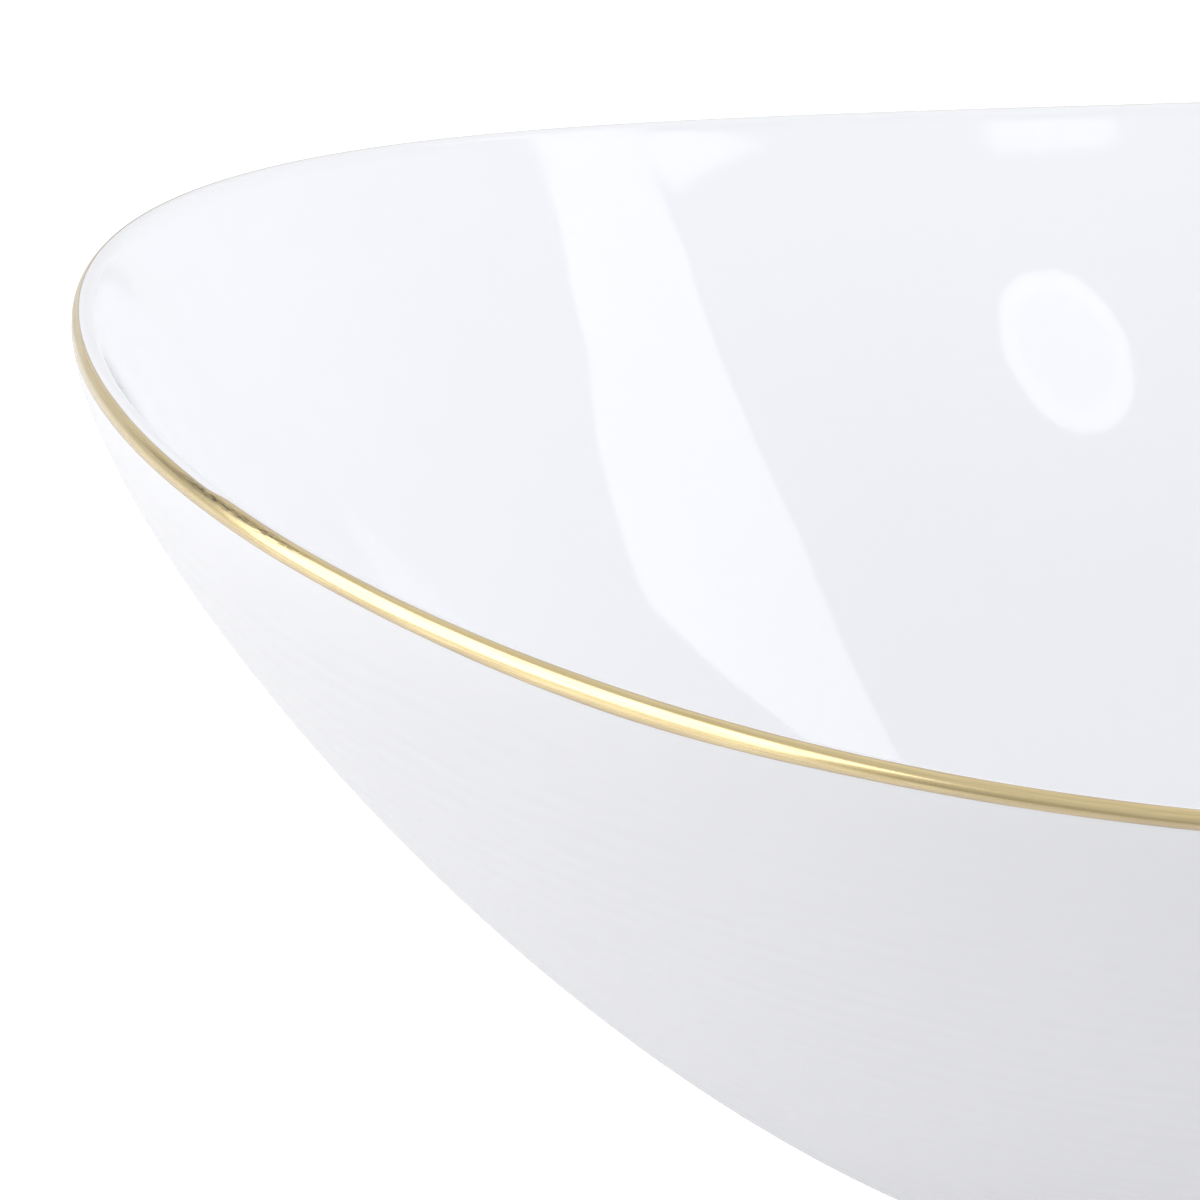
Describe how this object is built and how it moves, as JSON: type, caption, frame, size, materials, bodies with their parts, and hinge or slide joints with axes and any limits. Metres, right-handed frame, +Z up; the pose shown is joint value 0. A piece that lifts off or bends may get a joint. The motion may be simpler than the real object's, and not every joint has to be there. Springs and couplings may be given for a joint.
{
  "type": "serving bowl",
  "caption": "Round porcelain serving bowl with a waved rim, ribbed outer wall, smooth glazed inside, gilded lip and a low foot ring.",
  "frame": {"origin": "on the bowl's axis, at the level of the table it stands on", "axes": "+Z up along the bowl's axis; the rim's two raised ends lie at +X and -X, and its two low sides at +Y and -Y"},
  "size_m": [0.25, 0.25, 0.1019],
  "materials": {
    "glazed_porcelain": "clear glossy glaze on white porcelain",
    "bare_porcelain": "glazed sides with an unglazed, polished contact face",
    "fired_gold": "burnished fired gold line, applied by hand"
  },
  "bodies": {
    "root": {"bowl_shell": "glazed_porcelain", "foot_ring": "bare_porcelain", "gold_rim_band": "fired_gold"}
  },
  "joints": []
}
